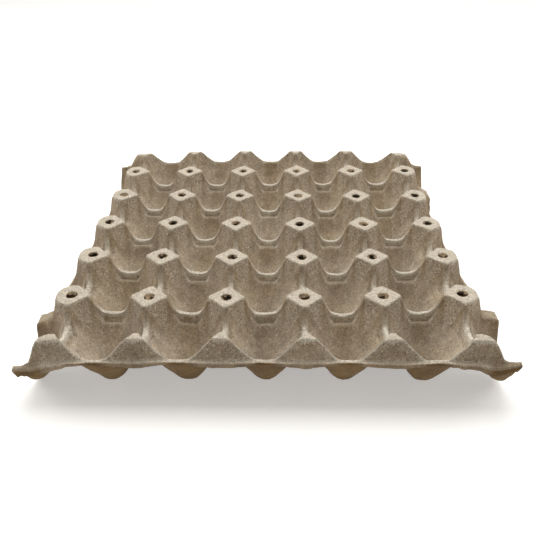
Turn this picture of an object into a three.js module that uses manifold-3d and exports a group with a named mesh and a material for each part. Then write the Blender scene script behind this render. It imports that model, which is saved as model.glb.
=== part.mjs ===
// Moulded-pulp egg tray: thirty cells, five across and six deep, in one square sheet of pulp.
// Millimetres. +Z is up, +X runs along the front edge, and the front edge faces -Y.
// The origin is on the resting plane, under the middle of the tray.
//
// The sheet is modelled in zones with a narrow gap between them: a cup for each cell, a hollow
// post at each inner crossing, and an edge zone along each side that carries the outer posts.

import * as THREE from "three";
import { ConvexGeometry } from "three/addons/geometries/ConvexGeometry.js";
import { mergeVertices } from "three/addons/utils/BufferGeometryUtils.js";
import Module from "manifold-3d";

// Driving dimensions
const PITCH = 49; // from cell to cell, the same both ways
const COLUMNS = 5;
const ROWS = 6;
const HEIGHT = 45; // resting plane to post tops
const WALL = 2;
const GAP = 0.3; // between neighbouring zones
const WEB_DROP = 15.7; // post tops down to the webs between the cups
const RIM_DROP = 10.2; // post tops down to the front and rear rim
const POST_TOP = 10.9; // centre of a post's diamond top to its corners
const POST_FOOT = 17.4; // the same at web level
const HOLE_RADIUS = 3.1;
const FLANK_TOP = 9.1; // centre of an outer post's top to its rounded outer flank
const FLANK_FOOT = 11.6;
const FLANK_WIDTH = 9.8; // half the width of an outer post's top along the side
const FLANK_FOOT_WIDTH = 13.5;
const CREST_BACK = 10.8; // rim plane to the inner corner of an edge post's top
const CREST_FRONT = 5.9; // rim plane to the outer edge of an edge post's top
const CREST_WIDTH = 5.5; // half the length of that edge
const CREST_FOOT = 16.4; // half the width of an edge post where it meets the rim
const RIB_WIDTH = 9.8; // side ribs at their inner end, along the side
const RIB_START = 2.72 * PITCH; // from the middle of the tray
const RAMP_START = 2.77 * PITCH; // from here out, a rib's top slopes down
const END_RIB_DROP = 17.2; // post tops down to the outer end of a side's first and last rib
const MIDDLE_RIB_DROP = 28; // the same for the ribs between them
const LIP = 1.5; // the rim's turned lip stands this far out of the outermost cells
const CUP_STEPS = 16; // flats round a cup
const HOLE_STEPS = 12;

// Derived sizes
const REACH_X = (COLUMNS + 1) * PITCH / 2; // side edges
const REACH_Y = ROWS * PITCH / 2; // front and rear rim
const WEB_Z = HEIGHT - WEB_DROP;
const RIM_Z = HEIGHT - RIM_DROP;
const POST_Z = WEB_Z + GAP; // underside of the posts

// A cup's section, from its middle to its brim: radius and height above the resting plane.
const CUP_INSIDE = [[0, WALL], [5.2, 4.4], [17, 19.6], [23.3, WEB_Z]];
const CUP_OUTSIDE = [[25.3, WEB_Z], [18.6, 18.3], [3.6, 0], [0, 0]];

const wasm = await Module();
wasm.setup();

const PULP_COLOUR = 0x9b9080;
const PULP_ROUGHNESS = 0.95;

// ---- Solids and meshes ----

function solidOf(geometry) {
  const bare = geometry.clone();
  bare.deleteAttribute("normal");
  bare.deleteAttribute("uv");
  const merged = mergeVertices(bare, 1e-4);
  return new wasm.Manifold(new wasm.Mesh({
    numProp: 3,
    vertProperties: merged.attributes.position.array,
    triVerts: new Uint32Array(merged.index.array),
  }));
}

function meshOf(name, solid) {
  const made = solid.getMesh();
  const geometry = new THREE.BufferGeometry();
  geometry.setAttribute("position", new THREE.BufferAttribute(made.vertProperties, 3));
  geometry.setIndex(new THREE.BufferAttribute(made.triVerts, 1));
  geometry.computeVertexNormals();
  const pulp = new THREE.MeshStandardMaterial({
    color: PULP_COLOUR,
    roughness: PULP_ROUGHNESS,
    metalness: 0,
  });
  const mesh = new THREE.Mesh(geometry, pulp);
  mesh.name = name;
  return mesh;
}

function join(solids) {
  return solids.reduce((whole, solid) => whole.add(solid));
}

// A block between two opposite corners.
function block(low, high) {
  const size = high.map((value, i) => value - low[i]);
  const geometry = new THREE.BoxGeometry(...size);
  geometry.translate(...high.map((value, i) => (value + low[i]) / 2));
  return solidOf(geometry);
}

// The convex solid round some points.
function hull(points) {
  return solidOf(new ConvexGeometry(points.map((point) => new THREE.Vector3(...point))));
}

// A straight-sided solid from an outline at one height to an outline at another.
function frustum(top, topZ, foot, footZ) {
  return hull([
    ...top.map(([x, y]) => [x, y, topZ]),
    ...foot.map(([x, y]) => [x, y, footZ]),
  ]);
}

// ---- Cups ----

function cupShell() {
  const section = [...CUP_INSIDE, ...CUP_OUTSIDE].reverse();
  const geometry = new THREE.LatheGeometry(
    section.map(([radius, height]) => new THREE.Vector2(radius, height)),
    CUP_STEPS,
    Math.PI / CUP_STEPS,
  );
  geometry.rotateX(Math.PI / 2);
  return solidOf(geometry);
}

const CUP = cupShell();
const HALF_CELL = (PITCH - GAP) / 2;

function cup(name) {
  const cell = block([-HALF_CELL, -HALF_CELL, 0], [HALF_CELL, HALF_CELL, HEIGHT]);
  return meshOf(name, CUP.intersect(cell));
}

// ---- Posts ----

function diamond(half) {
  return [[half, 0], [0, half], [-half, 0], [0, -half]];
}

// A diamond whose +X corner is swapped for a rounded flank.
function flankOutline(tip, flank, width) {
  const steps = 8;
  const outline = [[-tip, 0]];
  for (let i = 0; i <= steps; i++) {
    const turn = Math.PI * (i / steps - 0.5);
    outline.push([flank * Math.cos(turn), width * Math.sin(turn)]);
  }
  return outline;
}

function hole() {
  const drill = new THREE.CylinderGeometry(HOLE_RADIUS, HOLE_RADIUS, 4 * WALL, HOLE_STEPS);
  drill.rotateX(Math.PI / 2);
  drill.translate(0, 0, HEIGHT);
  return solidOf(drill);
}

// The pulp is WALL thick square to a sloping side, which is about 1.45 WALL along a diagonal.
const INSET = 1.45 * WALL;

function innerPost() {
  const outer = frustum(diamond(POST_TOP), HEIGHT, diamond(POST_FOOT), POST_Z);
  const inner = frustum(
    diamond(POST_TOP - INSET + 0.8), HEIGHT - WALL,
    diamond(POST_FOOT - INSET), POST_Z,
  );
  return outer.subtract(inner).subtract(hole());
}

function sidePost() {
  const outer = frustum(
    flankOutline(POST_TOP, FLANK_TOP, FLANK_WIDTH), HEIGHT,
    flankOutline(POST_FOOT, FLANK_FOOT, FLANK_FOOT_WIDTH), WEB_Z - WALL,
  );
  const inner = frustum(
    flankOutline(POST_TOP - INSET, FLANK_TOP - WALL, FLANK_WIDTH - WALL), HEIGHT - WALL,
    flankOutline(POST_FOOT - INSET, FLANK_FOOT - WALL, FLANK_FOOT_WIDTH - INSET), WEB_Z - WALL,
  );
  return outer.subtract(inner).subtract(hole());
}

const POST = innerPost();
const SIDE_POST = sidePost();

// ---- Front and rear rims: a lip along the edge and the row of cut posts above it ----

// An edge post on a rim that faces -Y, standing at x, drawn with the pulp's inset taken off.
function edgePost(x, inset) {
  const rim = -REACH_Y + inset;
  const crest = [
    [x, -REACH_Y + CREST_BACK - inset],
    [x - CREST_WIDTH + inset / 2, -REACH_Y + CREST_FRONT + inset],
    [x + CREST_WIDTH - inset / 2, -REACH_Y + CREST_FRONT + inset],
  ];
  const foot = [
    [x, -REACH_Y + POST_FOOT - inset],
    [x - CREST_FOOT + inset, rim],
    [x + CREST_FOOT - inset, rim],
  ];
  return frustum(crest, HEIGHT - inset, foot, POST_Z);
}

function frontRim() {
  const columns = Array.from({ length: COLUMNS + 1 }, (_, i) => (i - COLUMNS / 2) * PITCH);
  const lip = block([-REACH_X, -REACH_Y - LIP, POST_Z], [REACH_X, -REACH_Y + WALL - LIP, RIM_Z]);
  const outer = join([lip, ...columns.map((x) => edgePost(x, 0))]);
  return outer.subtract(join(columns.map((x) => edgePost(x, WALL))));
}

// ---- Side edges: half cups cut through their middles, ribs between them, outer posts ----

// The ribs of the +X side: where each stands along the side, and how high its outer end is.
const RIBS = Array.from({ length: ROWS - 1 }, (_, i) => ({
  y: (i + 1) * PITCH - REACH_Y,
  endZ: HEIGHT - (i === 0 || i === ROWS - 2 ? END_RIB_DROP : MIDDLE_RIB_DROP),
}));

// Four corners of a rib's section at one distance from the middle of the tray.
function ribSection(x, y, half, top, foot) {
  return [[x, y - half, top], [x, y + half, top], [x, y - half, foot], [x, y + half, foot]];
}

// A rib on the +X side. It is a folded channel, open underneath, and widens as it slopes down.
function rib({ y, endZ }) {
  const depth = 2.5 * WALL;
  const half = RIB_WIDTH / 2;
  const endHalf = half + 0.35 * (WEB_Z - endZ);
  const outer = hull([
    ...ribSection(RIB_START, y, half, WEB_Z, WEB_Z - depth),
    ...ribSection(RAMP_START, y, half, WEB_Z, WEB_Z - depth),
    ...ribSection(REACH_X, y, endHalf, endZ, endZ - depth),
  ]);
  const under = hull([
    ...ribSection(RIB_START - 1, y, half - WALL, WEB_Z - WALL, WEB_Z - 3 * depth),
    ...ribSection(RAMP_START - 1, y, half - WALL, WEB_Z - WALL, WEB_Z - 3 * depth),
    ...ribSection(REACH_X + 1, y, endHalf - WALL, endZ - 1.3 * WALL, endZ - 2 * depth),
  ]);
  return outer.subtract(under);
}

// The space above a rib, which the walls of the half cups keep out of.
function overRib({ y, endZ }) {
  const half = PITCH / 4;
  return hull([
    ...ribSection(RAMP_START, y, half, HEIGHT, WEB_Z),
    ...ribSection(REACH_X + 1, y, half, HEIGHT, endZ),
  ]);
}

function rightEdge() {
  const start = COLUMNS * PITCH / 2;
  const band = block([start + GAP / 2, -REACH_Y, 0], [REACH_X, REACH_Y, HEIGHT]);
  const overCups = block([start - PITCH, -REACH_Y, POST_Z], [REACH_X, REACH_Y, HEIGHT + 1]);
  const cups = [];
  for (let row = 0; row < ROWS; row++) {
    cups.push(CUP.translate([REACH_X, (row + 0.5) * PITCH - REACH_Y, 0]));
  }
  const rings = join(cups).intersect(band).subtract(join(RIBS.map(overRib)));
  const posts = join(RIBS.map(({ y }) => SIDE_POST.translate([start, y, 0])));
  return join([rings, ...RIBS.map(rib), posts.intersect(band.add(overCups))]);
}

// ---- The tray ----

const tray = new THREE.Group();
tray.name = "egg_tray";

for (let row = 0; row < ROWS; row++) {
  for (let column = 0; column < COLUMNS; column++) {
    const cell = cup(`cup_r${row + 1}_c${column + 1}`);
    cell.position.x = (column - (COLUMNS - 1) / 2) * PITCH;
    cell.position.y = (row - (ROWS - 1) / 2) * PITCH;
    tray.add(cell);
  }
}

for (let row = 0; row < ROWS - 1; row++) {
  for (let column = 0; column < COLUMNS - 1; column++) {
    const post = meshOf(`post_r${row + 1}_c${column + 1}`, POST);
    post.position.x = (column - (COLUMNS - 2) / 2) * PITCH;
    post.position.y = (row - (ROWS - 2) / 2) * PITCH;
    tray.add(post);
  }
}

const front = meshOf("front_rim", frontRim());
const rear = meshOf("rear_rim", frontRim());
rear.rotation.z = Math.PI;
const right = meshOf("right_edge", rightEdge());
const left = meshOf("left_edge", rightEdge());
left.rotation.z = Math.PI;
tray.add(front, rear, right, left);

export default tray;
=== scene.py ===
import math

import bpy
import numpy as np
from mathutils import Matrix, Vector

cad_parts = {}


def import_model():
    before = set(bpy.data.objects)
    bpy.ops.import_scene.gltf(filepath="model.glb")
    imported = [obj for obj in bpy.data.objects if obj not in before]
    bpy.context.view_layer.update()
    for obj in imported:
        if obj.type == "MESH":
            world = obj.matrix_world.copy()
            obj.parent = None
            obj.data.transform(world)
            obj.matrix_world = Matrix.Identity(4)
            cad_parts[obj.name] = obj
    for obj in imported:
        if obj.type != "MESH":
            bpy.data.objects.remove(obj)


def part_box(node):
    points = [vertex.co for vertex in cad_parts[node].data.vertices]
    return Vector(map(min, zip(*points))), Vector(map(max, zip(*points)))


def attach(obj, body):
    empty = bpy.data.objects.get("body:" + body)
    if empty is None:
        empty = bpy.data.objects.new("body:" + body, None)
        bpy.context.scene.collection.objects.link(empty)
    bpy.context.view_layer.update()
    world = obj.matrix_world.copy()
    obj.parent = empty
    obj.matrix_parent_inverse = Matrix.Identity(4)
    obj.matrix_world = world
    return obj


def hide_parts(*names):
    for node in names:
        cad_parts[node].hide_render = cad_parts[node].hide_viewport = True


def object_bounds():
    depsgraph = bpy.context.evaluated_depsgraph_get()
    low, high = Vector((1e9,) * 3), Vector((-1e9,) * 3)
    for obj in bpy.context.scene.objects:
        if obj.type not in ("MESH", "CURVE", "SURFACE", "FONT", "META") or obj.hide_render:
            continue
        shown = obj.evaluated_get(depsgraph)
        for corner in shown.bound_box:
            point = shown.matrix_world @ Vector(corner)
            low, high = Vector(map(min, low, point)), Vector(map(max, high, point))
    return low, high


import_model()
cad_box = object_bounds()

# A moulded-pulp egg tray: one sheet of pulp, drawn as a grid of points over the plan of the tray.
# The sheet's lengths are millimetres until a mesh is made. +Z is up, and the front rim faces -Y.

MM = 0.001


def centre(name):
    low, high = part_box(name)
    return (Vector(low) + Vector(high)) / (2 * MM)


# ---- Sizes from the frame ----

PITCH = (centre("cup_r1_c2") - centre("cup_r1_c1")).x
HALF = PITCH / 2
TOP = cad_box[1][2] / MM  # height of the post tops
COLUMNS = 5
ROWS = 6
REACH_X = (COLUMNS + 1) * HALF  # side edges, through the middles of the side half cups
REACH_Y = ROWS * HALF  # front and rear rims, through the middles of the edge posts
WEB_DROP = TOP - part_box("cup_r1_c1")[1][2] / MM

# ---- The rest of the section, in depths below the post tops ----

WALL = 2.0

# Cups.
BOWL_DEPTH = TOP - WALL
BOWL_SLOPE = 1.9  # how steep a cup's wall becomes away from its bottom
BOWL_ROUND = 14.0  # how soon it does
BOWL_RING = 10.5  # radius of the shallow step round a cup's bottom
BOWL_RING_WIDTH = 3.2

# Posts.
POST_TOP = 12.0  # centre of a post to the corners of its top, before they are rounded
POST_SLOPE = 2.3  # drop for each millimetre along a diagonal of the top
SIDE_CORNER = 1.5  # rounding of the left and right corners of a top
FRONT_CORNER = 2.4  # rounding of the front and rear ones
CORNER_SPREAD = 0.22  # how fast the latter grows away from the post
HOLE = 3.4  # radius of the hole in a top
FACE_FOOT = 0.7  # rim plane to the foot of an edge post's sloping face
FACE_TOP = 5.0  # rim plane to the top of that face
FACE_BLEND = 2.0  # width of the blend from that face to the post's other sides
# An edge post is narrow at the top and wide at the foot: distances across it, and across an inner
# post with the same sides.
EDGE_POST = ([0.0, 5.6, 18.8, HALF], [0.0, 7.0, 16.5, 22.0])

# The outer sides of the outer posts.
FLANK_TOP = 9.1  # centre of a post to the outer edge of its top
FLANK_WIDTH = 10.4  # the same towards its neighbours
FLANK_SLOPE = 4.4
FLANK_BLEND = 2.5
CORNER_SLOPE = 1.35  # slope of the corner posts' outer sides, at the top
CORNER_BEND = 0.085  # how fast they steepen
CORNER_REACH = (16.0, 8.0)  # distances from a rim between which a corner post's side takes over

# Webs.
WEB_SPAN = 13.6  # middle of a web to where it has risen to the post tops
WEB_HALF = 1.8  # half the thickness of a web's crest
WEB_SLOPE = 2.25  # slope of a crest where it rises to a post
WEB_BEND = 5.0  # how softly it starts to rise
WEB_CURVE = 0.03  # the middle of a crest is a shallow parabola,
WEB_CURVE_END = 9.0  # up to here
WEB_SIDE = 6.0  # slope of a crest's sides
RECESS_TOP = 8.6  # half the length of the recess under a web
RECESS_SIDE = 0.62  # how far its ends slant inwards for each millimetre down
RECESS_END = 3.2  # slope past its ends
RECESS_WALL = 7.0  # slope of its back
RECESS_TO_CREST = 20.0  # slope from its back to the middle of the crest, which lies outside it
LEDGE_DROP = 18.9  # its foot

# Rims.
RIM_AT_CUP = 12.0
RIM_AT_POST = 12.8
REAR_RIM = 1.1  # the rear rim lies this much lower
RIM_SIDE = 4.0  # slope of the rims' inner sides
CUP_MOUTH = 22.9  # radius of a cup where the rim's flat ends
RIM_FLAT = 5.0  # greatest width of that flat

# Ribs across the side margins.
RIB_DROP = 16.2
RIB_HALF = 4.8  # half the width of a rib's top
RIB_START = 2.64 * PITCH  # the ribs' inner ends
RAMP_START = 2.77 * PITCH  # where they start to slope down
# Their outer ends, from the front to the rear, on the left side (-1) and on the right one (1).
RIB_ENDS = {-1: [20.5, 32.5, 34.5, 34.5, 27.0], 1: [18.3, 32.0, 34.5, 34.5, 24.5]}

SHARP = 0.8  # width of the blend where two surfaces meet at a clear edge
FAR = 99.0  # out of reach of every other height

# How pale the pulp is where the mould pressed it, and in the painted light patches. The walls are
# 0.
PALE_TOP = 0.84
PALE_FACE = 0.92
PALE_RIM = 0.46  # beside the posts; PALE_MOUTH is added beside the cups
PALE_MOUTH = 0.32
PALE_RIB = 0.6
# painted light: pale patches round the cups' bottoms
PAINTED_LIGHT_PATCH = 0.24
PALE_LEDGE = 0.06

# The pieces.
POST_ZONE = 0.355 * PITCH  # a post's piece ends here, along the rows
RIM_ZONE = 2.0  # so wide is the strip of sheet that belongs to the rims

# ---- Noise ----

LATTICE = 64  # random numbers each way in a table


def lattice(seed):
    return np.random.default_rng(seed).uniform(-1.0, 1.0, (LATTICE, LATTICE))


def noise(x, y, spacing, seed):
    """Smooth noise between -1 and 1 with a feature about every `spacing` millimetres."""
    table = lattice(seed)
    u = x / spacing + 0.37 * LATTICE
    v = y / spacing + 0.61 * LATTICE
    i = np.floor(u).astype(int)
    j = np.floor(v).astype(int)
    s = u - i
    t = v - j
    s = s * s * s * (s * (6 * s - 15) + 10)
    t = t * t * t * (t * (6 * t - 15) + 10)
    i0, i1 = i % LATTICE, (i + 1) % LATTICE
    j0, j1 = j % LATTICE, (j + 1) % LATTICE
    near = table[i0, j0] * (1 - s) + table[i1, j0] * s
    far = table[i0, j1] * (1 - s) + table[i1, j1] * s
    return near * (1 - t) + far * t


def soft_max(a, b, width):
    """The larger of two heights, with the edge where they cross rounded over `width`."""
    share = np.clip(0.5 + 0.5 * (a - b) / width, 0.0, 1.0)
    return b + (a - b) * share + width * share * (1 - share)


def soft_min(a, b, width):
    return -soft_max(-a, -b, width)


def step(low, high, value):
    """A smooth step from 0 at `low` to 1 at `high`, which may be the smaller of the two."""
    t = np.clip((value - low) / (high - low), 0.0, 1.0)
    return t * t * (3 - 2 * t)


# ---- The upper surface ----


def nearest_post(x, y):
    return (np.floor(x / PITCH + 1e-9) + 0.5) * PITCH, np.round(y / PITCH) * PITCH


def cup_share(x):
    """1 in the middle of a column of cups, 0 on a column of posts."""
    return 0.5 + 0.5 * np.cos(2 * math.pi * x / PITCH)


class Place:
    """Where points of the plan are among the cups and posts."""

    def __init__(self, x, y):
        self.x = x
        self.y = y
        # The mould is slightly uneven.
        self.wx = x + 0.35 * noise(x, y, 11.0, 1) + 0.12 * noise(x, y, 4.0, 2)
        self.wy = y + 0.35 * noise(x, y, 11.0, 3) + 0.12 * noise(x, y, 4.0, 4)
        # From the nearest post, and from the nearest lines through the middles of the cups.
        self.across = np.abs((self.wx / PITCH) % 1.0 - 0.5) * PITCH
        self.along = np.abs((self.wy / PITCH + 0.5) % 1.0 - 0.5) * PITCH
        self.beside_x = HALF - self.across
        self.beside_y = HALF - self.along
        self.between = np.minimum(self.beside_x, self.beside_y)
        self.from_rim = REACH_Y - np.abs(self.wy)
        self.out = np.abs(self.wx) - COLUMNS * HALF  # past the outer posts
        self.at_cup = cup_share(self.wx)


def bowl(p):
    radius = np.hypot(p.beside_x, p.beside_y)
    depth = np.cbrt((BOWL_SLOPE * radius) ** 3 + BOWL_ROUND**3) - BOWL_ROUND - BOWL_DEPTH
    share = 0.8 + 0.5 * noise(p.x, p.y, 19.0, 61)
    step_up = np.exp(-(((radius - BOWL_RING) / BOWL_RING_WIDTH) ** 2))
    folds = 0.35 * np.cos(2 * np.arctan2(p.beside_y, p.beside_x)) * step_up
    return depth + share * step_up + folds


def rounded(distance, radius):
    """The distance, with its corner at nought rounded."""
    return np.where(distance > radius, distance, (distance * distance / radius + radius) / 2)


def post_sides(p):
    spread = CORNER_SPREAD * np.maximum(0.0, p.along - POST_TOP)
    across = np.where(p.from_rim < HALF, np.interp(p.across, *EDGE_POST), p.across)
    inner = rounded(across, FRONT_CORNER + spread) + rounded(p.along, SIDE_CORNER)
    inner = -POST_SLOPE * (inner - POST_TOP)
    past = np.hypot(p.across / FLANK_TOP, p.along / FLANK_WIDTH) * FLANK_TOP - FLANK_TOP
    corner = step(*CORNER_REACH, p.from_rim) * (past > 0)
    corner_side = -past * (CORNER_SLOPE + CORNER_BEND * past)
    flank = -FLANK_SLOPE * past * (1 - corner) + corner_side * corner
    share = step(-FLANK_BLEND, FLANK_BLEND, p.out)
    return inner * (1 - share) + flank * share


def crest(drop, t):
    """Height of a web's crest, `t` along it from its middle."""
    rise = -WEB_SLOPE * (WEB_SPAN - t)
    sag = -drop + WEB_CURVE * np.minimum(t, WEB_CURVE_END) ** 2
    return np.where(t > WEB_SPAN, 0.0, np.minimum(soft_max(sag, rise, WEB_BEND), 0.0))


def recess(drop, off, t):
    """The shallow recess in a cup's wall under a web, `off` from the web and `t` along it."""
    facet = -drop - np.where(off > WEB_HALF, RECESS_WALL, RECESS_TO_CREST) * (off - WEB_HALF)
    past = np.abs(t) - RECESS_TOP
    side = -drop + np.where(past > 0, RECESS_END, 1 / RECESS_SIDE) * past
    floor = soft_max(facet, np.full_like(off, -LEDGE_DROP), SHARP)
    return soft_max(floor, side, SHARP)


def walls(p, drop):
    """The sides of the cups and posts, with a thin crest between every two posts."""
    wall = soft_max(bowl(p), post_sides(p), 2.0)
    # The margins have no crests of their own: the ribs and rims are there.
    at_margin = (np.abs(p.wx) > REACH_X - HALF) | (p.from_rim < HALF / 2)
    near_side = np.abs(p.wx) > REACH_X - HALF + 9.0
    for off, t, left_out in ((p.along, p.beside_x, at_margin), (p.across, p.beside_y, near_side)):
        web = crest(drop, t) - WEB_SIDE * np.maximum(0.0, off - WEB_HALF)
        wall = soft_max(wall, np.where(left_out, -FAR, web), SHARP)
        wall = soft_min(wall, recess(drop, off, t) + FAR * left_out, SHARP)
    return wall


def rims(p):
    """The rims' drop below the posts, their height, and the width of their flats."""
    drop = RIM_AT_POST + REAR_RIM * (p.y > 0)
    rim = -drop + (RIM_AT_POST - RIM_AT_CUP) * p.at_cup + 0.4 * noise(p.x, p.y, 25.0, 7)
    flat = HALF - np.sqrt(CUP_MOUTH**2 - np.minimum(p.beside_x, 15.0) ** 2)
    return drop, rim, np.minimum(flat, RIM_FLAT) + 0.6 * noise(p.x, p.y, 19.0, 9)


def rib_top(x, y):
    """Height of the ribs across the side margins. They slope down to their outer ends."""
    row = np.clip(np.round(y / PITCH).astype(int) + ROWS // 2 - 1, 0, ROWS - 2)
    ends = np.where(x < 0, np.array(RIB_ENDS[-1])[row], np.array(RIB_ENDS[1])[row])
    ramp = np.clip((np.abs(x) - RAMP_START) / (REACH_X - RAMP_START), 0.0, 1.0)
    return -RIB_DROP - (ends - RIB_DROP) * ramp


def ribs(p):
    """The ribs' height, and the height that the half cups' walls come down to beside them."""
    rib = rib_top(p.wx, p.wy) + 0.4 * noise(p.x, p.y, 20.0, 8)
    over = 6.0 * np.maximum(0.0, RAMP_START - np.abs(p.wx))
    ceiling = rib + np.where(p.from_rim < 0.75 * HALF, FAR, over)
    rib = rib - 6.0 * np.maximum(0.0, p.along - RIB_HALF)
    rib = rib - 12.0 * np.maximum(0.0, RIB_START - np.abs(p.wx))
    return np.where(p.from_rim < HALF, -FAR, rib), ceiling


def overlay(marks, inside, pale, least=-np.inf):
    """Adds a pale part to the marks: how far inside its edge each point is, and how pale it is."""
    old_inside, old_pale = marks
    new_pale = np.where(inside > np.maximum(old_inside, least), pale, old_pale)
    return np.maximum(old_inside, inside), new_pale


def upper(x, y):
    """The upper surface: its height below the post tops, how pale the pulp is there, how far
    inside the edge of the pale part the point is, and how much brown tint and painted shade it
    gets."""
    p = Place(x, y)
    # The webs stand higher towards the front and rear.
    web_drop = WEB_DROP - 0.2 - 1.6 * (y / (2 * PITCH)) ** 2 + 0.9 * noise(x, y, 46.0, 5)
    rim_drop, rim, flat = rims(p)
    wall = soft_max(walls(p, web_drop), rim - RIM_SIDE * np.maximum(0.0, p.from_rim - flat), SHARP)

    # The caps: post tops and the webs that sag between them, and at the edge the rims and the
    # sloping faces of the posts.
    cap = crest(web_drop, p.between) + 0.25 * noise(x, y, 30.0, 6)
    slope = -rim_drop * (FACE_TOP - p.from_rim) / (FACE_TOP - FACE_FOOT)
    at_edge = step(FACE_TOP + FACE_BLEND, FACE_TOP, p.from_rim)
    cap = cap * (1 - at_edge) + soft_max(rim, np.minimum(0.0, slope), 1.2) * at_edge
    turn = 1.1 - 0.5 * at_edge + 0.3 * step(-2.0, -6.0, cap) * (1 - at_edge)  # roundness of edges
    height = soft_min(wall, cap, turn)

    # The post tops, the webs, and the ridges of the edge posts are pale. The webs' edges fade over
    # 4.5 mm of height and the tops' and ridges' over 2.3 mm.
    above = wall - cap
    inside = np.where(p.between < 11.0, above / 4.5 + 0.45, above / 2.3 + 0.3)
    on_face = (at_edge > 0.5) & (cap < -1.0)
    inside = np.where(on_face, (2.3 - np.abs(above)) / 2.3, inside)
    flat_web = step(9.5, 7.0, p.between) * (1 - at_edge)
    rising_web = 0.35 * step(12.0, 9.5, p.between) + 0.3 * step(3.0, 1.5, p.across)
    rising_web = rising_web * (1 - at_edge)
    pale = np.maximum(PALE_TOP * step(-1.6, -0.5, cap), np.maximum(flat_web, rising_web))
    pale = np.maximum(pale, PALE_FACE * at_edge)

    # So are the rims and the ledges at the recesses' feet, and round a cup's bottom there are
    # painted light patches.
    on_rim = np.minimum(flat + 0.5 - p.from_rim, (0.9 - np.abs(height - rim)) / 1.5)
    marks = overlay((inside, pale), on_rim, PALE_RIM + PALE_MOUTH * p.at_cup)
    ledge = (0.6 - np.abs(height + LEDGE_DROP)) * (p.between < 6.0)
    marks = overlay(marks, ledge, PALE_LEDGE, least=0.0)
    radius = np.hypot(p.beside_x, p.beside_y)
    # Painted light: pale patches where light falls round a cup's bottom.
    lit_patch = np.exp(-(((radius - BOWL_RING) / 3.8) ** 2)) * step(-0.1, 0.5, noise(x, y, 10.0, 71))
    inside, pale = overlay(marks, 0.55 * lit_patch - 0.3, PAINTED_LIGHT_PATCH)
    inside = np.clip(inside, -1.0, 1.0)

    # The ribs across the side margins.
    rib, ceiling = ribs(p)
    height = soft_min(height, ceiling, 1.2)
    inside, pale = overlay((inside, pale), (rib - height) / 3.0 + 0.2, PALE_RIB)
    height = soft_max(height, rib, 1.0)

    # The outer faces and the flanks get painted shade: a browner, darker tint than the rest of the
    # upper side.
    # Painted shade on the edge posts' outer faces and on the flanks.
    brown_and_shade = 0.29 * (on_face & (above > 2.0) & (on_rim < 0.0))
    brown_and_shade = np.maximum(brown_and_shade, 0.55 * step(-1.0, -3.0, height) * step(4.0, 9.0, p.out))
    return height, pale, inside, brown_and_shade


def lower_table(spacing=0.4):
    """The lower surface on a regular grid: the upper one with a ball of pulp rolled under it."""
    nx = int(round(2 * REACH_X / spacing)) + 1
    ny = int(round(2 * REACH_Y / spacing)) + 1
    xs = np.linspace(-REACH_X, REACH_X, nx)
    ys = np.linspace(-REACH_Y, REACH_Y, ny)
    heights = upper(*np.meshgrid(xs, ys, indexing="ij"))[0]
    reach = int(WALL / spacing)
    padded = np.pad(heights, reach, mode="edge")
    lowest = np.full_like(heights, np.inf)
    for i in range(-reach, reach + 1):
        for j in range(-reach, reach + 1):
            under = WALL**2 - (i * i + j * j) * spacing**2
            if under < 0:
                continue
            moved = padded[reach + i : reach + i + nx, reach + j : reach + j + ny]
            lowest = np.minimum(lowest, moved - math.sqrt(under))
    return xs, ys, lowest


def sample(table, x, y):
    """The table's values at any points, between those of the four nearest grid points."""
    xs, ys, values = table
    u = np.clip((x - xs[0]) / (xs[1] - xs[0]), 0, len(xs) - 1.001)
    v = np.clip((y - ys[0]) / (ys[1] - ys[0]), 0, len(ys) - 1.001)
    i = u.astype(int)
    j = v.astype(int)
    s = u - i
    t = v - j
    near = values[i, j] * (1 - s) + values[i + 1, j] * s
    far = values[i, j + 1] * (1 - s) + values[i + 1, j + 1] * s
    return near * (1 - t) + far * t


# ---- The grid: rings of points round each post, out to a square half a pitch away ----

DIAMOND = 12.9  # the ring at the foot of a post top's rounded edge
# The distance at which each band of rings ends, and the number of rings in it.
RINGS = [(HOLE, 5), (6.0, 3), (DIAMOND, 14), (POST_ZONE, 5), (HALF, 10)]


def ring_distances():
    distances = [0.0]
    for end, count in RINGS:
        start = distances[-1]
        distances += [start + (end - start) * (i + 1) / count for i in range(count)]
    return np.array(distances)


STEPS = ring_distances()


def lines(first, last):
    """Grid lines from a whole number of half pitches to another; even ones are post lines."""
    out = []
    for h in range(first, last):
        part = STEPS if h % 2 == 0 else HALF - STEPS[::-1]
        out.append(h * HALF + part[:-1])
    return np.append(np.concatenate(out), last * HALF)


def roundness(ring):
    """The inverse exponent of a ring's outline: 0.5 a circle, 1 a diamond, 0 a square."""
    points = [0.0, HOLE, 11.1, DIAMOND, 16.0, HALF]
    return np.interp(ring, points, [0.5, 0.5, 0.93, 0.93, 0.9, 0.0])


def plan():
    """The grid's lines, its points' places in plan, and their ring distances from their posts."""
    gx = lines(-COLUMNS, COLUMNS + 2) - HALF
    gy = lines(-ROWS, ROWS)
    x, y = np.meshgrid(gx, gy, indexing="ij")
    post_x, post_y = nearest_post(x, y)
    post_x = np.clip(post_x, -COLUMNS * HALF, COLUMNS * HALF)
    a = x - post_x
    b = y - post_y
    ring = np.maximum(np.abs(a), np.abs(b))
    inverse = roundness(ring)
    exponent = 1 / np.maximum(inverse, 0.02)
    scaled_a = np.abs(a) / np.maximum(ring, 1e-9)
    scaled_b = np.abs(b) / np.maximum(ring, 1e-9)
    norm = (scaled_a**exponent + scaled_b**exponent) ** (1 / exponent)
    shrink = np.where(ring > 1e-6, 1 / np.maximum(norm, 1e-9), 1.0)
    # Each hole sits a little off its post's middle.
    near = step(9.0, 4.0, ring)
    x_off = 0.5 * noise(post_x, post_y, 21.0, 11) * near
    y_off = 0.4 * noise(post_x, post_y, 21.0, 12) * near
    return gx, gy, post_x + a * shrink + x_off, post_y + b * shrink + y_off, ring


# ---- The sheet's points ----

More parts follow.
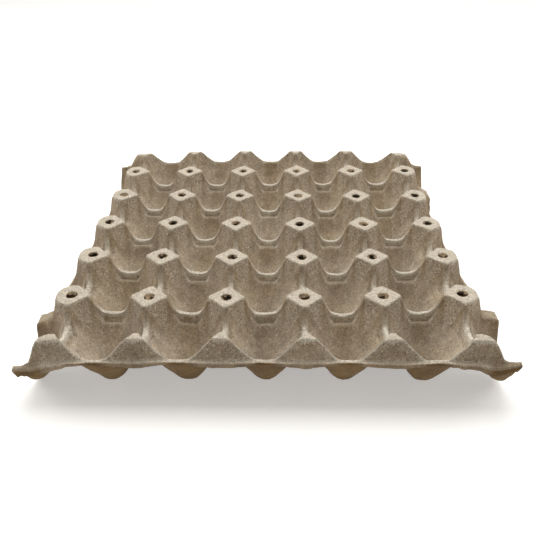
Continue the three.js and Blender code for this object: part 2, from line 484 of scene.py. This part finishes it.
LIP_ROWS = 8  # rows of points past the front and rear rims
EDGE_ROWS = 3  # the same past the side edges
LIP_TURN = 1.2  # radius of the rims' turned edge
LIP_LENGTH = 2.0  # beside the posts, below the turn
LIP_AT_CUP = 1.9  # the lip is this much shorter beside the cups,
LIP_AT_TIP = 1.6  # and this much at the tips of the corners,
LIP_AT_CORNER = 3.2  # but this much longer on the way to the front ones
FRONT_CORNERS_IN = 2.0  # how far the front corners are pushed in,
REAR_CORNERS_OUT = 2.3  # and the rear ones pulled out

# How far the front and rear of the tray stand out of true, at places across it in pitches.
FRONT_LEVEL = (
    [-3.0, -2.5, -1.5, -0.5, 0.5, 1.5, 2.5, 3.0],
    [0.2, 0.3, 1.3, 2.1, 1.7, 1.9, 1.8, 1.8],
)
REAR_LEVEL = (
    [-3.0, -2.5, -1.5, -0.5, 0.5, 1.5, 2.5, 3.0],
    [0.0, 0.0, 1.8, 2.4, 2.1, 2.4, 0.4, 0.2],
)
# How far its corners have come to hang, likewise.
FRONT_CORNERS = (
    [-3.0, -2.94, -2.86, -2.8, -2.76, -2.7, -2.6, -2.3, 2.1, 2.3, 2.5, 2.64, 2.75, 2.82, 3.0],
    [-5.2, -4.8, -4.4, -4.4, -4.2, -2.6, -1.4, -0.3, -0.4, -1.1, -0.6, -2.2, -2.4, -1.6, -0.6],
)
REAR_CORNERS = (
    [-3.0, -2.75, -2.55, 2.55, 2.75, 3.0],
    [-4.0, -3.4, 0.0, 0.0, -2.4, -3.0],
)


def warp(x, y):
    """The slight twist of the tray, in millimetres up."""
    u = x / (2.5 * PITCH)
    v = y / (2 * PITCH)
    twist = -1.0 - 0.5 * u + 0.5 * v + 1.0 * u * u - 0.35 * u * v
    twist = twist + 1.1 * v * v - 1.1 * u * u * v + 1.2 * u * v * v
    twist = np.clip(twist, -1.2, 3.0)
    front = step(-2.25 * PITCH, -2.75 * PITCH, y)
    rear = step(2.25 * PITCH, 2.75 * PITCH, y)
    twist = twist * (1 - front - rear) + np.interp(x / PITCH, *FRONT_LEVEL) * front
    return twist + np.interp(x / PITCH, *REAR_LEVEL) * rear


def corner_droop(x, y):
    front = np.interp(x / PITCH, *FRONT_CORNERS) * step(-2.8 * PITCH, -REACH_Y, y)
    return front + np.interp(x / PITCH, *REAR_CORNERS) * step(2.75 * PITCH, REACH_Y, y)


def flat_sheet():
    """The sheet inside the tray's edges, with a dimple and a burr round each hole."""
    gx, gy, x, y, ring = plan()
    top, pressed_and_lit, inside, brown_and_shade = upper(x, y)
    under = sample(lower_table(), x, y)
    in_rims = np.abs(y) > REACH_Y - HALF / 2
    dimple = step(HOLE + 1.6, HOLE, ring) * 0.5 + step(HOLE, 0.6 * HOLE, ring) * 1.0
    top = top - np.where(in_rims, 0.0, dimple)
    inside = np.where(in_rims, inside, np.minimum(inside, ring - HOLE - 0.2))
    # The pulp left in each hole is tinted a little browner and darker.
    brown_and_shade = np.where(in_rims | (ring > HOLE - 0.1), brown_and_shade, 0.2)
    burr = (np.abs(ring - HOLE) < 0.01) & ~in_rims
    return gx, gy, (x, y, top, under - 1.3 * burr, pressed_and_lit, inside, brown_and_shade)


def extended(count, extra):
    """The indices of a line's points with `extra` copies of its ends, and how far past they are."""
    i = np.arange(-extra, count + extra)
    inside = np.clip(i, 0, count - 1)
    return inside, np.abs(i - inside) / extra


def near_front_corner(x, y):
    """1 near the two front corners, where the lip is longer, and 0 elsewhere."""
    return step(REACH_X - 29.0, REACH_X - 14.0, np.abs(x)) * (y < 0)


def lip(x, y, past, corner):
    """The rims' lip, round the edge and down to a ragged end: out, down, the straight part of
    that, and the whole lip's drop."""
    length = LIP_LENGTH - LIP_AT_CUP * cup_share(x) * (1 - corner) + 0.5 * noise(x, y, 17.0, 21)
    length = length + 0.4 * noise(x, y, 3.1, 22) - LIP_AT_TIP * corner
    length = np.maximum(0.1, length + LIP_AT_CORNER * near_front_corner(x, y))
    arc = math.pi / 2 * LIP_TURN
    s = past * (arc + length)
    angle = np.minimum(s / LIP_TURN, math.pi / 2)
    straight = np.maximum(s - arc, 0.0)
    out = LIP_TURN * np.sin(angle) + 0.12 * straight
    return out, LIP_TURN * (1 - np.cos(angle)) + straight, straight, LIP_TURN + length


def unevenness(x, y, top):
    """How far the used tray's points stand out of true, in X and in Z."""
    at_corner = step(2.5 * PITCH, REACH_X, np.abs(x))
    narrow = FRONT_CORNERS_IN * at_corner * step(-2.75 * PITCH, -REACH_Y, y)
    narrow = narrow - REAR_CORNERS_OUT * (at_corner * step(2.2 * PITCH, 2.8 * PITCH, y))
    # The bottoms of the front cups stand a little nearer to the middle than their mouths.
    lean = (0.9 - 0.0155 * x) * step(-1.9 * PITCH, -2.5 * PITCH, y)
    lean = lean * np.clip((-top - 13.0) / 19.0, 0.0, 1.0)
    return lean - np.sign(x) * narrow, warp(x, y) + corner_droop(x, y)


def sheet_points():
    """The grid's lines, the points of the sheet's two faces, and the upper face's shades."""
    gx, gy, flat = flat_sheet()
    i, past_x = extended(flat[0].shape[0], EDGE_ROWS)
    j, past_y = extended(flat[0].shape[1], LIP_ROWS)
    past_x = past_x[:, None]
    past_y = past_y[None, :]
    x, y, top, under, pressed_and_lit, inside, brown_and_shade = (grid[i[:, None], j[None, :]] for grid in flat)
    side_x = np.sign(x)
    side_y = np.sign(y)
    corner = step(REACH_X - 16.0, REACH_X, np.abs(x))
    out_y, down_y, straight, end_drop = lip(x, y, past_y, corner)

    # The side edges: a plain rounded edge, a little uneven. The lips' ends slant inwards.
    rough = 0.5 + 0.35 * noise(y, x, 6.0, 23) + 0.25 * noise(y, x, 2.3, 24)
    out_x = rough * np.sin(past_x * math.pi / 2) - 0.7 * corner**3 * straight
    down_x = 0.7 * (1 - np.cos(past_x * math.pi / 2))

    upper_points = np.stack(
        [x + side_x * out_x, y + side_y * out_y, top - down_y - down_x], -1
    )
    inner_out = np.maximum(0.0, out_y - WALL * past_y)
    under_z = under * (1 - past_y) + np.maximum(under, top - end_drop + 0.4) * past_y
    under_z = np.where(past_y > 0, np.minimum(under_z, top - end_drop * past_y - 0.3), under_z)
    lower_points = np.stack(
        [x + side_x * out_x, y + side_y * inner_out, under_z + down_x], -1
    )

    # The lip isn't pressed, so it is as dark as the walls, and it gets painted shade, browner and
    # darker, most of all under the cups and near the front corners.
    pressed_and_lit = pressed_and_lit * (1 - 0.9 * step(0.15, 0.35, past_y)) * (1 - 0.7 * step(0.2, 0.9, past_x))
    at_lip = step(0.3, 0.5, past_y)
    # Painted shade on the lip, darkest under the cups and near the front corners.
    lip_brown_and_shade = np.maximum(0.5, cup_share(x) ** 2 * (1 - corner))
    lip_brown_and_shade = np.maximum(lip_brown_and_shade, near_front_corner(x, y) * at_lip)
    brown_and_shade = brown_and_shade * (1 - at_lip) + at_lip * lip_brown_and_shade

    # Unevenness of the whole sheet, and each face's own grain.
    aside, bend = unevenness(x, y, top)
    for points, seed, share in ((upper_points, 31, 1.0), (lower_points, 41, 1.3)):
        grain = 0.16 * noise(x, y, 3.3, seed) + 0.09 * noise(x, y, 1.7, seed + 1)
        points[..., 0] += aside
        points[..., 0] += 0.10 * share * noise(x, y, 3.0, seed + 2)
        points[..., 1] += 0.10 * share * noise(x, y, 3.0, seed + 3)
        points[..., 2] += TOP + bend + share * grain
        points[..., 2] = np.clip(points[..., 2], 0.0, None)
    return gx, gy, upper_points, lower_points, pressed_and_lit, inside, brown_and_shade


# ---- Pieces: one for each zone of the sheet ----


def zone_names():
    names = [f"cup_r{r + 1}_c{c + 1}" for r in range(ROWS) for c in range(COLUMNS)]
    names += [f"post_r{r + 1}_c{c + 1}" for r in range(ROWS - 1) for c in range(COLUMNS - 1)]
    return names + ["front_rim", "rear_rim", "left_edge", "right_edge"]


NAMES = zone_names()
NO_PULP = -1


def zones(gx, gy):
    """The zone of each face of the grid."""
    middle_x = (gx[1:] + gx[:-1]) / 2
    middle_y = (gy[1:] + gy[:-1]) / 2
    x, y = np.meshgrid(
        np.concatenate([[gx[0]] * EDGE_ROWS, middle_x, [gx[-1]] * EDGE_ROWS]),
        np.concatenate([[gy[0]] * LIP_ROWS, middle_y, [gy[-1]] * LIP_ROWS]),
        indexing="ij",
    )
    column = np.clip(np.floor(x / PITCH + 0.5).astype(int) + COLUMNS // 2, 0, COLUMNS - 1)
    row = np.clip(np.floor(y / PITCH).astype(int) + ROWS // 2, 0, ROWS - 1)
    zone = row * COLUMNS + column
    zone = np.where(x < -COLUMNS * HALF, NAMES.index("left_edge"), zone)
    zone = np.where(x > COLUMNS * HALF, NAMES.index("right_edge"), zone)

    post_column = np.floor(x / PITCH + 1e-9).astype(int) + (COLUMNS - 1) // 2
    post_row = np.round(y / PITCH).astype(int) + ROWS // 2 - 1
    post_x, post_y = nearest_post(x, y)
    ring = np.maximum(np.abs(x - post_x), np.abs(y - post_y))
    in_post = (ring < POST_ZONE) & (np.abs(post_x) < REACH_X)
    whole_post = np.abs(post_y) < REACH_Y - 1  # the rims have only half posts
    inner_column = (post_column >= 0) & (post_column < COLUMNS - 1)
    number = NAMES.index("post_r1_c1") + post_row * (COLUMNS - 1) + post_column
    zone = np.where(in_post & whole_post & inner_column, number, zone)
    zone = np.where(in_post & (post_column < 0), NAMES.index("left_edge"), zone)
    zone = np.where(in_post & (post_column > COLUMNS - 2), NAMES.index("right_edge"), zone)
    at_rim = (np.abs(y) > REACH_Y - RIM_ZONE) | (in_post & ~whole_post)
    zone = np.where(at_rim & (y < 0), NAMES.index("front_rim"), zone)
    zone = np.where(at_rim & (y > 0), NAMES.index("rear_rim"), zone)

    # Each hole keeps a ragged crescent of pulp.
    drilled = (ring < HOLE) & whole_post & (np.abs(post_x) < REACH_X)
    bits = 0.5 * noise(post_x, post_y, 9.0, 51) + 0.9 * noise(x, y, 2.9, 52)
    crescent = (bits > 0.05) & (ring > (0.6 - 0.4 * (bits > 0.35)) * HOLE)
    return np.where(drilled & ~crescent, NO_PULP, zone)


def vertex_normals(upper_points, lower_points, open_faces):
    """Smooth normals for both faces of the sheet, taken over the whole sheet."""

    def one_side(points, sign):
        a = points[1:, 1:] - points[:-1, :-1]
        b = points[:-1, 1:] - points[1:, :-1]
        face = np.cross(a, b) * sign
        face[open_faces] = 0.0
        total = np.zeros_like(points)
        for i in (0, 1):
            for j in (0, 1):
                total[i : i + face.shape[0], j : j + face.shape[1]] += face
        length = np.linalg.norm(total, axis=-1, keepdims=True)
        return total / np.maximum(length, 1e-9)

    return one_side(upper_points, 1.0), one_side(lower_points, -1.0)


def piece_mesh(name, mask, upper_points, lower_points, normals, shade):
    """A closed mesh of the faces in `mask`: upper side, lower side, and a wall round them."""
    nx, ny = upper_points.shape[:2]
    number = np.arange(nx * ny).reshape(nx, ny)
    lower_start = nx * ny
    a = number[:-1, :-1][mask]
    b = number[1:, :-1][mask]
    c = number[1:, 1:][mask]
    d = number[:-1, 1:][mask]
    faces = [np.stack([a, b, c, d], -1), lower_start + np.stack([d, c, b, a], -1)]
    framed = np.pad(mask, 1)
    sides = [
        (framed[1:-1, :-2], number[:-1, :-1], number[1:, :-1]),
        (framed[2:, 1:-1], number[1:, :-1], number[1:, 1:]),
        (framed[1:-1, 2:], number[1:, 1:], number[:-1, 1:]),
        (framed[:-2, 1:-1], number[:-1, 1:], number[:-1, :-1]),
    ]
    for beyond, start, end in sides:
        edge = mask & ~beyond
        s = start[edge]
        e = end[edge]
        faces.append(np.stack([s, s + lower_start, e + lower_start, e], -1))
    faces = np.concatenate(faces)
    used, packed = np.unique(faces, return_inverse=True)
    packed = packed.reshape(faces.shape)
    points = np.concatenate([upper_points.reshape(-1, 3), lower_points.reshape(-1, 3)])[used]
    all_normals = np.concatenate([normals[0].reshape(-1, 3), normals[1].reshape(-1, 3)])[used]

    mesh = bpy.data.meshes.new(name)
    mesh.vertices.add(len(points))
    mesh.vertices.foreach_set("co", (points * MM).ravel())
    mesh.loops.add(packed.size)
    mesh.loops.foreach_set("vertex_index", packed.ravel())
    mesh.polygons.add(len(packed))
    mesh.polygons.foreach_set("loop_start", np.arange(0, packed.size, 4))
    mesh.update(calc_edges=True)
    mesh.validate()
    mesh.shade_smooth()
    mesh.normals_split_custom_set_from_vertices(all_normals)
    for key, (over, below) in shade.items():
        values = np.concatenate([over.ravel(), below.ravel()])[used]
        attribute = mesh.attributes.new(key, "FLOAT", "POINT")
        attribute.data.foreach_set("value", values.astype(np.float32))
    return mesh


# ---- Shader nodes ----


def node(tree, kind, **values):
    made = tree.nodes.new(kind)
    for key, value in values.items():
        if hasattr(made, key):
            setattr(made, key, value)
        else:
            made.inputs[key.replace("_", " ")].default_value = value
    return made


def link(tree, output, target):
    tree.links.new(output, target)


def mapped(tree, source, low, high, to_low=0.0, to_high=1.0):
    ramp = node(tree, "ShaderNodeMapRange")
    ramp.inputs["From Min"].default_value = low
    ramp.inputs["From Max"].default_value = high
    ramp.inputs["To Min"].default_value = to_low
    ramp.inputs["To Max"].default_value = to_high
    link(tree, source, ramp.inputs["Value"])
    return ramp.outputs["Result"]


def mixed(tree, factor, first, second, blend="MIX"):
    mix = tree.nodes.new("ShaderNodeMix")
    mix.data_type = "RGBA"
    mix.blend_type = blend
    for name, value in (("Factor_Float", factor), ("A_Color", first), ("B_Color", second)):
        socket = next(s for s in mix.inputs if s.identifier == name)
        if isinstance(value, (tuple, float)):
            socket.default_value = value
        else:
            link(tree, value, socket)
    return next(s for s in mix.outputs if s.identifier == "Result_Color")


def arithmetic(tree, operation, first, second):
    made = node(tree, "ShaderNodeMath", operation=operation)
    for socket, value in zip(made.inputs, (first, second)):
        if isinstance(value, float):
            socket.default_value = value
        else:
            link(tree, value, socket)
    return made.outputs[0]


def grey(tree, value):
    made = node(tree, "ShaderNodeCombineColor")
    for socket in made.inputs[:3]:
        link(tree, value, socket)
    return made.outputs[0]


def shaded(tree, colour, value):
    """A colour multiplied by a number."""
    return mixed(tree, 1.0, colour, grey(tree, value), "MULTIPLY")


# ---- Pulp ----

DEEP_PULP = (0.300, 0.230, 0.156, 1.0)
PLAIN_PULP = (0.413, 0.333, 0.242, 1.0)
PALE_PULP = (0.64, 0.585, 0.49, 1.0)
BROWN_SHADE_TINT = (0.38, 0.265, 0.11, 1.0)  # painted shade, browner and darker: of the underside and the outer faces
YELLOWED = (1.01, 0.985, 0.92, 1.0)  # the two ends of the stains' colours
GREYED = (0.98, 0.98, 0.98, 1.0)
FLECK = (0.06, 0.05, 0.04, 1.0)
PAINTED_LIGHT_LOW = (1.53, 1.68, 1.92, 1.0)  # painted light: the cups' bottoms are painted lighter than the posts' sides
PAINTED_SHADE_HIGH = (0.87, 0.815, 0.72, 1.0)
LOW_AND_HIGH = (0.012, 0.045)  # heights of those two, in metres


def pulp():
    material = bpy.data.materials.new("pulp")
    material.use_nodes = True
    tree = material.node_tree
    tree.nodes.clear()
    output = node(tree, "ShaderNodeOutputMaterial")
    shader = node(tree, "ShaderNodeBsdfPrincipled")
    shader.inputs["Specular IOR Level"].default_value = 0.18
    shader.inputs["Sheen Weight"].default_value = 0.12
    shader.inputs["Sheen Roughness"].default_value = 0.6
    link(tree, shader.outputs[0], output.inputs["Surface"])
    place = node(tree, "ShaderNodeTexCoord").outputs["Object"]

    def grain(scale, detail, roughness=0.5, distortion=0.0):
        made = node(tree, "ShaderNodeTexNoise", Scale=scale, Detail=detail,
                    Roughness=roughness, Distortion=distortion)
        link(tree, place, made.inputs["Vector"])
        return made.outputs["Fac"]

    # Noise from clouds half a cup wide down to dust.
    clouds = grain(38.0, 3.0)
    blots = grain(170.0, 4.0, 0.6)
    fibres = grain(800.0, 6.0, 0.75, 1.2)
    dust = grain(2200.0, 3.0, 0.6)

    pressed_and_lit = node(tree, "ShaderNodeAttribute", attribute_name="pressed_and_lit").outputs["Fac"]
    inside = node(tree, "ShaderNodeAttribute", attribute_name="inside").outputs["Fac"]
    split = node(tree, "ShaderNodeSeparateXYZ")
    link(tree, place, split.inputs[0])
    high = mapped(tree, split.outputs["Z"], *LOW_AND_HIGH)

    # The walls: cloudy, stained and blotted, with painted light low down and painted shade towards
    # the top.
    colour = mixed(tree, mapped(tree, clouds, 0.32, 0.68), DEEP_PULP, PLAIN_PULP)
    stain = mixed(tree, mapped(tree, grain(29.0, 2.0), 0.38, 0.62), YELLOWED, GREYED)
    colour = mixed(tree, 1.0, colour, stain, "MULTIPLY")
    colour = shaded(tree, colour, mapped(tree, blots, 0.3, 0.7, 0.80, 1.20))
    # Painted light and shade by height: lighter deep in the cups, darker and browner towards the
    # top.
    painted_height_light = mixed(tree, high, PAINTED_LIGHT_LOW, PAINTED_SHADE_HIGH)
    colour = mixed(tree, 1.0, colour, painted_height_light, "MULTIPLY")

    # The pressed parts and the painted light patches in the cups, with ragged edges.
    ragged = mapped(tree, fibres, 0.3, 0.7, -0.25, 0.25)
    edge = mapped(tree, arithmetic(tree, "ADD", inside, ragged), -0.15, 0.2)
    edge = arithmetic(tree, "MULTIPLY", edge, pressed_and_lit)
    edge = arithmetic(tree, "MULTIPLY", edge, mapped(tree, fibres, 0.25, 0.6, 0.72, 1.0))
    colour = mixed(tree, edge, colour, PALE_PULP)

    # Fibres and dust all over, brown pulp with painted shade on the underside, the outer faces and
    # the lip, and dark flecks.
    colour = shaded(tree, colour, mapped(tree, fibres, 0.3, 0.7, 0.50, 1.52))
    colour = shaded(tree, colour, mapped(tree, dust, 0.3, 0.7, 0.70, 1.30))
    brown_and_shade = node(tree, "ShaderNodeAttribute", attribute_name="brown_and_shade").outputs["Fac"]
    # Painted shade: the brown tint darkens the underside, the outer faces, the flanks and the lip.
    colour = mixed(tree, brown_and_shade, colour, BROWN_SHADE_TINT, "MULTIPLY")
    flecks = node(tree, "ShaderNodeTexVoronoi", Scale=300.0, Randomness=1.0)
    link(tree, place, flecks.inputs["Vector"])
    dark = mapped(tree, flecks.outputs["Distance"], 0.13, 0.07)
    dark = arithmetic(tree, "MULTIPLY", dark, mapped(tree, blots, 0.42, 0.58, 0.0, 0.9))
    colour = mixed(tree, dark, colour, FLECK)
    link(tree, colour, shader.inputs["Base Color"])
    link(tree, mapped(tree, fibres, 0.3, 0.7, 0.86, 0.98), shader.inputs["Roughness"])

    fine = node(tree, "ShaderNodeBump", Strength=0.6, Distance=0.0003)
    link(tree, dust, fine.inputs["Height"])
    coarse = node(tree, "ShaderNodeBump", Strength=0.8, Distance=0.0009)
    link(tree, fibres, coarse.inputs["Height"])
    link(tree, fine.outputs["Normal"], coarse.inputs["Normal"])
    link(tree, coarse.outputs["Normal"], shader.inputs["Normal"])
    return material


# ---- The tray ----


def make_tray(material):
    gx, gy, upper_points, lower_points, pressed_and_lit, inside, brown_and_shade = sheet_points()
    zone = zones(gx, gy)
    normals = vertex_normals(upper_points, lower_points, zone == NO_PULP)
    nought = 0.0 * pressed_and_lit
    # The lower face gets no pale marks and the full brown tint, which is painted shade.
    shade = {
        "pressed_and_lit": (pressed_and_lit, nought),
        "inside": (inside, nought - 1.0),
        "brown_and_shade": (brown_and_shade, nought + 1.0),
    }
    for number, name in enumerate(NAMES):
        mesh = piece_mesh(name, zone == number, upper_points, lower_points, normals, shade)
        mesh.materials.append(material)
        piece = bpy.data.objects.new("pulp_" + name, mesh)
        bpy.context.scene.collection.objects.link(piece)
        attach(piece, "root")
        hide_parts(name)


# ---- Floor, lights and camera, in metres ----

AIM = Vector((0.0, 0.0, 0.02))  # what the lamps point at
EYE = (0.1661, -8.0108, 4.3053)  # the camera, in pitches from the middle of the post tops


def floor():
    mesh = bpy.data.meshes.new("floor")
    reach = 6.0
    corners = [(-reach, -reach, 0), (reach, -reach, 0), (reach, reach, 0), (-reach, reach, 0)]
    mesh.from_pydata(corners, [], [(0, 1, 2, 3)])
    plain = bpy.data.materials.new("floor")
    plain.use_nodes = True
    shader = plain.node_tree.nodes["Principled BSDF"]
    shader.inputs["Base Color"].default_value = (0.80, 0.80, 0.80, 1.0)
    shader.inputs["Roughness"].default_value = 0.9
    shader.inputs["Emission Color"].default_value = (1.0, 1.0, 1.0, 1.0)
    shader.inputs["Emission Strength"].default_value = 0.4
    mesh.materials.append(plain)
    ground = bpy.data.objects.new("floor", mesh)
    bpy.context.scene.collection.objects.link(ground)


def area_light(name, place, size, power, colour):
    lamp = bpy.data.lights.new(name, "AREA")
    lamp.shape = "RECTANGLE"
    lamp.size, lamp.size_y = size
    lamp.energy = power
    lamp.color = colour
    light = bpy.data.objects.new(name, lamp)
    bpy.context.scene.collection.objects.link(light)
    light.location = place
    light.rotation_euler = (AIM - Vector(place)).to_track_quat("-Z", "Y").to_euler()


def camera():
    """The camera stands in front of the tray and looks down on it, level within a degree."""
    focal_ratio = 1.0807  # focal length over the frame's width
    pitch = math.radians(32.66)
    yaw = math.radians(-1.40)
    roll = math.radians(-0.57)
    forward = Vector(
        (math.sin(yaw) * math.cos(pitch), math.cos(yaw) * math.cos(pitch), -math.sin(pitch))
    )
    right = Vector((math.cos(yaw), -math.sin(yaw), 0.0))
    down = forward.cross(right)
    turned_right = right * math.cos(roll) - down * math.sin(roll)
    turned_down = right * math.sin(roll) + down * math.cos(roll)
    lens = bpy.data.cameras.new("camera")
    lens.sensor_width = 36.0
    lens.lens = focal_ratio * lens.sensor_width
    eye = bpy.data.objects.new("camera", lens)
    bpy.context.scene.collection.objects.link(eye)
    matrix = Matrix((turned_right, -turned_down, -forward)).transposed().to_4x4()
    matrix.translation = (
        EYE[0] * PITCH * MM,
        EYE[1] * PITCH * MM,
        TOP * MM + EYE[2] * PITCH * MM,
    )
    eye.matrix_world = matrix
    bpy.context.scene.camera = eye


def world():
    """A soft dome, dimmer and yellower towards the front."""
    sky = bpy.data.worlds.new("studio")
    sky.use_nodes = True
    tree = sky.node_tree
    background = tree.nodes["Background"]
    direction = node(tree, "ShaderNodeTexCoord").outputs["Generated"]
    split = node(tree, "ShaderNodeSeparateXYZ")
    link(tree, direction, split.inputs[0])
    behind = mapped(tree, split.outputs["Y"], -0.8, 0.6)
    link(tree, mapped(tree, behind, 0.0, 1.0, 0.09, 0.74), background.inputs["Strength"])
    tint = mixed(tree, behind, (1.0, 0.90, 0.75, 1.0), (1.0, 0.99, 0.97, 1.0))
    link(tree, tint, background.inputs["Color"])
    bpy.context.scene.world = sky


# ---- The scene ----

make_tray(pulp())
floor()
area_light("overhead", (0.0, 0.4, 1.3), (1.4, 1.2), 13.0, (1.0, 0.985, 0.955))
area_light("left", (-1.3, 0.3, 0.9), (1.0, 0.8), 7.0, (1.0, 0.98, 0.94))
area_light("right", (1.3, 0.3, 0.9), (1.0, 0.8), 7.0, (1.0, 0.985, 0.955))
world()
camera()
bpy.context.scene.view_settings.view_transform = "Standard"
